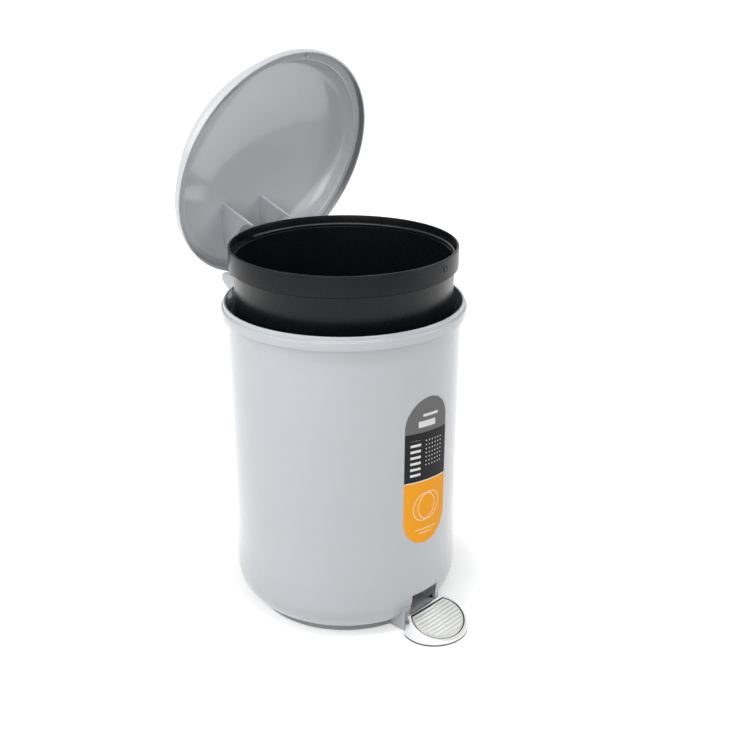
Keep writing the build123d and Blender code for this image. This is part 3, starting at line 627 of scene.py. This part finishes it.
for side in (-1, 1):
    spot = Vector((-side * math.sin(HANDLE_TURN) * HOLE_RING_REACH,
                   side * math.cos(HANDLE_TURN) * HOLE_RING_REACH, HANDLE_HIGH)) * MM
    rest_all()
    bpy.ops.mesh.primitive_torus_add(location=spot, rotation=(math.pi / 2, 0, HANDLE_TURN),
                                     major_radius=HOLE_RING * MM, minor_radius=HOLE_RING_WIRE * MM,
                                     major_segments=40, minor_segments=12)
    settle()
    combine(bucket, bpy.context.object, "UNION")
smooth(bucket, 32)
bucket_black = plastic("bucket_black", (0.0050, 0.0057, 0.0068), 0.27, cloud=0.06, marks=0.10, ripple=0.06,
                       grain=0.14, shine=0.17)
finish_piece(bucket, bucket_black, "bucket", "bucket_plastic", "inner_bucket")


# Handle: a bow of black coated wire that lies on the ledge, with its ends
# turned out through the collar and headed over.
WIRE = 1.1
BOW_REACH = 75.7
END_MID = 76.75
END_LONG = 4.3

rest_all()
bpy.ops.mesh.primitive_torus_add(location=(0, 0, 0), major_radius=BOW_REACH * MM, minor_radius=WIRE * MM,
                                 major_segments=144, minor_segments=16)
handle = bpy.context.object
handle.name = "handle_bow"
bpy.ops.object.mode_set(mode="EDIT")
bpy.ops.mesh.select_all(action="SELECT")
bpy.ops.mesh.bisect(plane_co=(0, 0, 0), plane_no=(1, 0, 0), clear_inner=True, use_fill=True)
bpy.ops.object.mode_set(mode="OBJECT")
for side in (-1, 1):
    wire_end = round_bar(WIRE, END_LONG, (0, side * END_MID, 0), (math.pi / 2, 0, 0), 24)
    soften(wire_end, 0.35, 3, 40)
    pick(handle)
    wire_end.select_set(True)
    bpy.ops.object.join()
handle.rotation_euler = (0, 0, HANDLE_TURN)
handle.location = (0, 0, HANDLE_HIGH * MM)
pick(handle)
settle()
smooth(handle, 45)
handle_black = plastic("handle_black", (0.022, 0.022, 0.023), 0.30, cloud=0.06, marks=0.08, ripple=0.02,
                       grain=0.10)
finish_piece(handle, handle_black, "handle", "wire", "bail_handle")


# Pedal: a chromed wedge with a flared skirt, and a satin ribbed tread set
# into its top. It slopes down to the front and its skirt nearly meets the floor.
PEDAL_BACK = 80.5
PEDAL_MID = 89.0
PEDAL_HALF = 24.3
PEDAL_LONG = 22.8
PEDAL_HIGH = 15.2
PEDAL_SLOPE = math.radians(22)
PEDAL_WALL = 1.6
TONGUE_HALF = 9.9
TREAD_MID = 91.7
TREAD_HALF = 21.6
TREAD_LONG = 17.25
TREAD_DEPTH = 1.2


def oval_column(half, long, low, high, flare, back, middle=PEDAL_MID):
    """An oval with a straight back, drawn upwards and drawn in towards the top."""
    rest_all()
    bpy.ops.mesh.primitive_cylinder_add(vertices=160, radius=1, depth=(high - low) * MM, end_fill_type="NGON",
                                        location=(0, -middle * MM, (low + high) / 2 * MM))
    piece = bpy.context.object
    piece.scale = (half * MM, long * MM, 1)
    settle()
    for vertex in piece.data.vertices:
        if vertex.co.z > (low + high) / 2 * MM:
            share = 1 - flare / half
            vertex.co.x *= share
            vertex.co.y = -middle * MM + (vertex.co.y + middle * MM) * share
    bpy.ops.object.mode_set(mode="EDIT")
    bpy.ops.mesh.select_all(action="SELECT")
    bpy.ops.mesh.bisect(plane_co=(0, -back * MM, 0), plane_no=(0, 1, 0), clear_outer=True, use_fill=True)
    bpy.ops.object.mode_set(mode="OBJECT")
    return piece


def on_slope(along, drop=0.0):
    """A place on the pedal's slope, so far up it and so much below it."""
    back = -PEDAL_BACK + along * math.cos(PEDAL_SLOPE) + drop * math.sin(PEDAL_SLOPE)
    high = PEDAL_HIGH + along * math.sin(PEDAL_SLOPE) - drop * math.cos(PEDAL_SLOPE)
    return (0, back * MM, high * MM)


def slope_cut(piece, drop):
    """Takes off all that stands above the pedal's slope, lowered by so much."""
    bpy.ops.object.mode_set(mode="EDIT")
    bpy.ops.mesh.select_all(action="SELECT")
    lean = (0, -math.sin(PEDAL_SLOPE), math.cos(PEDAL_SLOPE))
    bpy.ops.mesh.bisect(plane_co=on_slope(0, drop), plane_no=lean, clear_outer=True, use_fill=True)
    bpy.ops.mesh.select_all(action="SELECT")
    bpy.ops.mesh.normals_make_consistent(inside=False)
    bpy.ops.object.mode_set(mode="OBJECT")
    return piece


def inlay(side_gap, end_gap, back_gap, top, bottom, high=30):
    """A plate of the tread's outline, between two depths below the pedal's slope."""
    half = TREAD_HALF - side_gap
    long = TREAD_LONG - end_gap
    plate = oval_column(half, long, -5, high, 0, PEDAL_BACK + back_gap, TREAD_MID)
    if top is not None:
        slope_cut(plate, top)
    under = oval_column(PEDAL_HALF + 5, PEDAL_LONG + 5, -10, high, 0, PEDAL_BACK - 5)
    combine(plate, slope_cut(under, bottom))
    return plate


pedal_skirt = slope_cut(oval_column(PEDAL_HALF, PEDAL_LONG, 0.5, 17.5, 3.0, PEDAL_BACK - 0.7), 0)
pedal_skirt.name = "pedal_skirt"
combine(pedal_skirt, inlay(0, 0, 0.8, None, TREAD_DEPTH))
hollow = oval_column(PEDAL_HALF - PEDAL_WALL, PEDAL_LONG - PEDAL_WALL, -1, 17, 3.17, PEDAL_BACK + 0.9)
combine(pedal_skirt, slope_cut(hollow, TREAD_DEPTH + PEDAL_WALL))
tongue_slot = block((-TONGUE_HALF, -PEDAL_BACK - 2.4, -2), (TONGUE_HALF, -PEDAL_BACK + 4, PEDAL_HIGH - 2.4))
combine(pedal_skirt, tongue_slot)
soften(pedal_skirt, 0.35, 3, 45)
smooth(pedal_skirt, 35)


def metal_grain_group():
    """Rolled or plated metal: fine lines one way, soft stains and small scuffs."""
    tree, given, gives = effect_group("metal_grain", [
        ("Colour", "NodeSocketColor", (0.6, 0.6, 0.6, 1)),
        ("Stretch", "NodeSocketVector", (1.0, 1.0, 1.0)),
        ("Roughness", "NodeSocketFloat", 0.25),
        ("Spread", "NodeSocketFloat", 0.1),
        ("Relief", "NodeSocketFloat", 0.1),
    ])
    place = tree.nodes.new("ShaderNodeTexCoord").outputs["Object"]
    pull = tree.nodes.new("ShaderNodeVectorMath")
    pull.operation = "MULTIPLY"
    tree.links.new(place, pull.inputs[0])
    tree.links.new(given.outputs["Stretch"], pull.inputs[1])
    lines = noise(tree, pull.outputs[0], 900.0, 3.0, 0.6)
    stain = noise(tree, place, 90.0, 4.0, 0.6)
    uneven_gloss(tree, given, gives, lines, stain, 0.6, "Spread")
    shade = stir(tree, maths(tree, "MULTIPLY", stain, 0.16), given.outputs["Colour"], (0.18, 0.18, 0.19, 1))
    tree.links.new(shade, gives.inputs["Colour"])
    tree.links.new(relief(tree, lines, given.outputs["Relief"], 0.00006), gives.inputs["Normal"])
    return tree


metal_grain = metal_grain_group()


def metal(name, colour, rough, stretch=(1, 1, 1), spread=0.1, lines=0.1, metallic=1.0):
    """A bare or plated metal with its own grain."""
    material, shader = surfaced(name, metal_grain, Colour=(*colour, 1), Stretch=stretch, Roughness=rough,
                                Spread=spread, Relief=lines)
    shader.inputs["Metallic"].default_value = metallic
    return material


def painted_foot_shadow(material):
    """Paints the skirt's lowest edge near black: a painted reflection of the contact shadow under the pedal.
    """
    tree = material.node_tree
    shader = tree.nodes["Principled BSDF"]
    grain = [n for n in tree.nodes if n.type == "GROUP"][0]
    place = tree.nodes.new("ShaderNodeTexCoord").outputs["Object"]
    split = tree.nodes.new("ShaderNodeSeparateXYZ")
    tree.links.new(place, split.inputs[0])
    share = tree.nodes.new("ShaderNodeMapRange")
    share.interpolation_type = "SMOOTHSTEP"
    share.inputs["From Min"].default_value = 1.0 * MM
    share.inputs["From Max"].default_value = 1.9 * MM
    tree.links.new(split.outputs["Z"], share.inputs["Value"])
    # Painted reflection of the contact shadow: near black below 1 mm, fading out by 1.9 mm.
    colour = stir(tree, share.outputs["Result"], (0.025, 0.026, 0.028, 1), grain.outputs["Colour"])
    tree.links.new(colour, shader.inputs["Base Color"])


pedal_chrome = metal("pedal_chrome", (0.80, 0.80, 0.81), 0.10, spread=0.05, lines=0.03)
painted_foot_shadow(pedal_chrome)
finish_piece(pedal_skirt, pedal_chrome, "pedal", "chrome", "pedal_cap")


# Tread: a satin plate let into the pedal's top, with straight ribs across it
# and a black band round it, painted shadow in the gap under its edge. The ribs are one plate parted by
# grooves.
GROOVE_COUNT = 11
GROOVE_FIRST = -1.375
GROOVE_PITCH = 2.85
GROOVE_WIDE = 1.6

# Black band round the tread: painted shadow in the gap under the tread's edge.
pedal_gap_shade = inlay(0.05, 0.05, 0.85, 0.55, 1.15)
pedal_gap_shade.name = "pedal_gap_shade"
tread = inlay(0.95, 0.9, 1.8, 0.15, TREAD_DEPTH)
tread.name = "pedal_tread_plate"
soften(tread, 0.25, 2, 45)
tread_ribs = inlay(2.2, 2.0, 2.4, -0.52, 0.5, high=40)
tread_ribs.name = "pedal_tread_ribs"
for index in range(GROOVE_COUNT):
    rest_all()
    bpy.ops.mesh.primitive_cube_add(size=1, location=(0, 0, 0))
    groove = bpy.context.object
    groove.scale = (80 * MM, GROOVE_WIDE * MM, 20 * MM)
    groove.rotation_euler = (PEDAL_SLOPE, 0, 0)
    groove.location = on_slope(GROOVE_FIRST - index * GROOVE_PITCH)
    settle()
    combine(tread_ribs, groove)
soften(tread_ribs, 0.3, 2, 45)
smooth(tread_ribs, 35)
smooth(tread, 35)
# The plate, seen in the grooves and round the ribs, is a darker copy of the ribs' satin: painted shade in the
# recesses.
tread_satin_groove_shade = metal("tread_satin_groove_shade", (0.60, 0.61, 0.59), 0.34, stretch=(0.08, 1, 1), spread=0.12, lines=0.25)
rib_satin = metal("rib_satin", (0.80, 0.81, 0.79), 0.28, stretch=(0.08, 1, 1), spread=0.10, lines=0.2)
# Near-black for the band round the tread: painted shadow in the gap.
gap_shade_black = plastic("gap_shade_black", (0.010, 0.010, 0.011), 0.60, cloud=0.05, marks=0.10, ripple=0.0,
                     grain=0.2, shine=0.1)
finish_piece(tread, tread_satin_groove_shade, "pedal", "tread_metal", "pedal_tread")
finish_piece(tread_ribs, rib_satin, "pedal", "tread_metal")
finish_piece(pedal_gap_shade, gap_shade_black, "pedal", "tread_metal")


# Sticker: a capsule of printed film on the front of the wall, in grey, dark
# grey and orange, with plain motifs. It is cut from a thin turned skin.
LABEL_TURN = math.radians(-1.4)
LABEL_HALF = 19.8
LABEL_LOW = 68.0
LABEL_HIGH = 177.0
LABEL_REACH = 80.6
FILM_IN = 0.25
FILM_OUT = 0.28
SKIN_LOW = 60
SKIN_HIGH = 185
FIELD_LEAN = 0.086
DOT_PITCH = 3.0
BAR_PITCH = 4.4


def wall_at(height):
    """The outside of the drafted wall."""
    foot = FOOT_CENTRE[1]
    return 80.0 + (height - foot) / (BEAD_LOW - foot) * 1.2


label_skin = [(wall_at(SKIN_LOW) - FILM_IN, SKIN_LOW), (wall_at(SKIN_LOW) + FILM_OUT, SKIN_LOW)]
label_skin += [(wall_at(SKIN_HIGH) + FILM_OUT, SKIN_HIGH), (wall_at(SKIN_HIGH) - FILM_IN, SKIN_HIGH)]
front_sticker = turned("front_sticker", label_skin, steps=720)
capsule = arc_run((0, LABEL_HIGH - LABEL_HALF), LABEL_HALF, 0, 180, 30)
capsule += arc_run((0, LABEL_LOW + LABEL_HALF), LABEL_HALF, 180, 360, 30)
stamp = drawn_out(capsule, lambda p: Vector((p[0] * MM, -120 * MM, p[1] * MM)), (0, 90 * MM, 0))
stamp.rotation_euler = (0, 0, LABEL_TURN)
pick(stamp)
settle()
combine(front_sticker, stamp, "INTERSECT")
smooth(front_sticker, 40)


def printed_film():
    """Printed film: three fields of colour, with dots, bars and rings."""
    material = bpy.data.materials.new("printed_film")
    material.use_nodes = True
    tree = material.node_tree
    shader = tree.nodes["Principled BSDF"]
    place = tree.nodes.new("ShaderNodeTexCoord").outputs["Object"]
    split = tree.nodes.new("ShaderNodeSeparateXYZ")
    tree.links.new(place, split.inputs[0])

    def step(operation, first, second=None):
        return maths(tree, operation, first, second)

    def above(value, level):
        return step("GREATER_THAN", value, level)

    def between(value, low, high):
        return step("MULTIPLY", above(value, low), step("LESS_THAN", value, high))

    def both(first, second):
        return step("MULTIPLY", first, second)

    def either(first, second):
        return step("MAXIMUM", first, second)

    def distance(first, second):
        return step("SQRT", step("ADD", both(first, first), both(second, second)))

    turn = step("ARCTAN2", split.outputs["X"], step("MULTIPLY", split.outputs["Y"], -1.0))
    across = step("MULTIPLY", step("SUBTRACT", turn, LABEL_TURN), LABEL_REACH)
    height = step("MULTIPLY", split.outputs["Z"], 1 / MM)
    leaning = step("ADD", height, step("MULTIPLY", across, FIELD_LEAN))

    def panel(left, right, low, high):
        return both(between(across, left, right), between(leaning, low, high))

    def ring(x, z, outer, inner):
        return between(distance(step("SUBTRACT", across, x), step("SUBTRACT", height, z)), inner, outer)

    def in_cell(value, pitch):
        return step("SUBTRACT", step("FRACT", step("DIVIDE", value, pitch)), 0.5)

    colour = (0.97, 0.39, 0.014, 1)
    fields = (
        (115.6, (0.86, 0.86, 0.85, 1)),
        (116.3, (0.014, 0.014, 0.015, 1)),
        (152.2, (0.155, 0.155, 0.158, 1)),
    )
    for level, ink in fields:
        colour = stir(tree, above(leaning, level), colour, ink)
    dot = step("LESS_THAN", distance(in_cell(across, DOT_PITCH), in_cell(leaning, DOT_PITCH)), 0.17)
    dots = both(dot, panel(-3.0, 15.0, 126.0, 147.0))
    row = step("FRACT", step("DIVIDE", step("SUBTRACT", leaning, 120.5), BAR_PITCH))
    bars = both(panel(-15.5, -6.5, 120.5, 147.0), step("LESS_THAN", row, 0.42))
    plates = either(panel(-9.0, 7.0, 156.0, 160.5), panel(-5.0, 9.5, 163.5, 165.5))
    rings = either(ring(-2.0, 96.0, 10.5, 9.9), ring(2.5, 96.0, 10.5, 9.9))
    marks = either(either(rings, panel(-10.0, 10.0, 78.4, 79.0)), panel(-6.0, 6.0, 75.4, 76.0))
    speck = step("MULTIPLY", noise(tree, place, 2600.0, 2.0, 0.5), 0.05)
    motifs = (
        (dots, (0.72, 0.72, 0.71, 1)),
        (bars, (0.80, 0.80, 0.79, 1)),
        (plates, (0.78, 0.78, 0.77, 1)),
        (marks, (0.96, 0.80, 0.60, 1)),
        (speck, (0.5, 0.5, 0.5, 1)),
    )
    for share, ink in motifs:
        colour = stir(tree, share, colour, ink)
    tree.links.new(colour, shader.inputs["Base Color"])
    rough = step("ADD", step("MULTIPLY", noise(tree, place, 140.0, 4.0, 0.6), 0.16), 0.26)
    tree.links.new(rough, shader.inputs["Roughness"])
    lift = tree.nodes.new("ShaderNodeBump")
    lift.inputs["Distance"].default_value = 0.0002
    lift.inputs["Strength"].default_value = 0.12
    tree.links.new(noise(tree, place, 120.0, 2.0, 0.5), lift.inputs["Height"])
    tree.links.new(lift.outputs["Normal"], shader.inputs["Normal"])
    shader.inputs["Specular IOR Level"].default_value = 0.04
    return material


finish_piece(front_sticker, printed_film(), "bin", "label_film", "front_label")


# Steel and small mouldings: the lever, the pins, the saddle and their clips
# are pressed or drawn steel. The guides, eye and shoe are plain mouldings.
lever_steel = metal("lever_steel", (0.74, 0.74, 0.75), 0.34, stretch=(1, 0.06, 1), spread=0.14, lines=0.25,
                    metallic=0.35)
pin_steel = metal("pin_steel", (0.60, 0.60, 0.61), 0.22, stretch=(0.08, 1, 1), spread=0.12, lines=0.2)
rod_steel = metal("rod_steel", (0.60, 0.60, 0.61), 0.24, stretch=(1, 1, 0.05), spread=0.12, lines=0.2)
screw_zinc = metal("screw_zinc", (0.52, 0.52, 0.50), 0.34, spread=0.18, lines=0.15)
guide_grey = plastic("guide_grey", (0.34, 0.345, 0.35), 0.45, cloud=0.08, marks=0.10, ripple=0.03, grain=0.2)
pad_rubber = plastic("pad_rubber", (0.018, 0.018, 0.019), 0.72, cloud=0.15, marks=0.12, ripple=0.0, grain=0.5)
node_finish = (
    (lever_steel, ("pedal_lever", "pivot_saddle")),
    (pin_steel, ("lever_pivot_pin", "hinge_pin", "lid_link_pin")),
    (screw_zinc, ("hinge_pin_washer", "pivot_pin_clips", "link_pin_clips", "pedal_push_nuts")),
    (screw_zinc, ("saddle_rivets", "base_screws")),
    (rod_steel, ("push_rod",)),
    (guide_grey, ("rod_eye", "rod_shoe", "rod_guides")),
    (pad_rubber, ("foot_pads",)),
)
for material, nodes in node_finish:
    for node in nodes:
        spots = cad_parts[node].data.materials
        for index in range(len(spots)):
            spots[index] = material
        if not len(spots):
            spots.append(material)


# Floor: a wide white sweep that keeps a soft shadow near the bin and shows
# plain white to the camera and in reflections further out.
def rays_that_show(tree):
    """One for what the camera sees, straight, through glass or in a gloss, and nought for other light."""
    paths = tree.nodes.new("ShaderNodeLightPath")
    shown = maths(tree, "MAXIMUM", paths.outputs["Is Camera Ray"], paths.outputs["Is Transmission Ray"])
    return maths(tree, "MAXIMUM", shown, paths.outputs["Is Glossy Ray"])


rest_all()
bpy.ops.mesh.primitive_plane_add(size=14, location=(0, 0, 0))
floor = bpy.context.object
floor.name = "floor"
floor_white = bpy.data.materials.new("floor_white")
floor_white.use_nodes = True
tree = floor_white.node_tree
shader = tree.nodes["Principled BSDF"]
shader.inputs["Base Color"].default_value = (0.80, 0.80, 0.80, 1)
shader.inputs["Roughness"].default_value = 0.9
shader.inputs["Specular IOR Level"].default_value = 0.0
shader.inputs["Emission Color"].default_value = (1, 1, 1, 1)
reach = tree.nodes.new("ShaderNodeVectorMath")
reach.operation = "LENGTH"
tree.links.new(tree.nodes.new("ShaderNodeTexCoord").outputs["Object"], reach.inputs[0])
fade = tree.nodes.new("ShaderNodeMapRange")
fade.interpolation_type = "SMOOTHSTEP"
fade.inputs["From Min"].default_value = 82 * MM
fade.inputs["From Max"].default_value = 170 * MM
fade.inputs["To Min"].default_value = 0.40
fade.inputs["To Max"].default_value = 1.0
tree.links.new(reach.outputs["Value"], fade.inputs["Value"])
glow = maths(tree, "MULTIPLY", rays_that_show(tree), fade.outputs["Result"])
tree.links.new(glow, shader.inputs["Emission Strength"])
floor.data.materials.append(floor_white)


# Room: plain white to the camera and in reflections, and a much softer light
# on the bin itself, which the lamps light.
ROOM_LIGHT = 0.20

room = bpy.data.worlds.new("room")
scene.world = room
room.use_nodes = True
tree = room.node_tree
backdrop = tree.nodes["Background"]
backdrop.inputs["Color"].default_value = (1, 1, 1, 1)
level = maths(tree, "MULTIPLY", rays_that_show(tree), 1 - ROOM_LIGHT)
tree.links.new(maths(tree, "ADD", level, ROOM_LIGHT), backdrop.inputs["Strength"])


# Lamps: soft boxes at the left, the left front, the front, the right and the
# back, and a long strip above that draws the highlight along the rim.
def soft_box(name, place, aim, width, height, power):
    """One soft lamp that faces a point."""
    lamp = bpy.data.lights.new(name, "AREA")
    lamp.shape = "RECTANGLE"
    lamp.size = width
    lamp.size_y = height
    lamp.energy = power
    holder = bpy.data.objects.new(name, lamp)
    bpy.context.collection.objects.link(holder)
    holder.location = place
    holder.rotation_euler = (Vector(aim) - Vector(place)).to_track_quat("-Z", "Y").to_euler()


middle = (0, 0, 0.15)
soft_box("left_box", (-1.05, 0.30, 0.75), middle, 0.8, 1.0, 6.6)
soft_box("left_front_box", (-1.0, -0.55, 0.60), middle, 0.7, 0.7, 3.9)
soft_box("front_box", (-0.35, -1.1, 0.65), (0, 0.06, 0.28), 0.7, 0.7, 1.4)
soft_box("right_box", (0.75, -1.0, 0.6), middle, 0.6, 1.0, 4.5)
soft_box("back_box", (-0.8, 0.9, 0.9), (0, 0.05, 0.25), 0.8, 0.8, 1.5)
soft_box("top_box", (-0.25, -0.30, 1.1), middle, 0.9, 0.22, 3.6)


# Camera: at the photograph's place and angle. The focal length is known in
# pixels of a picture that is as wide as the photograph.
PICTURE_WIDE = 736
FOCAL_PIXELS = 1200
SENSOR = 36
CAMERA_PLACE = (-0.559117, -0.560884, 0.483435)
CAMERA_LOOKS = (0.67155325, 0.64595777, -0.36298042)

lens = bpy.data.cameras.new("camera")
lens.sensor_width = SENSOR
lens.lens = FOCAL_PIXELS / PICTURE_WIDE * SENSOR
camera = bpy.data.objects.new("camera", lens)
bpy.context.collection.objects.link(camera)
camera.location = CAMERA_PLACE
camera.rotation_euler = Vector(CAMERA_LOOKS).to_track_quat("-Z", "Y").to_euler()
scene.camera = camera
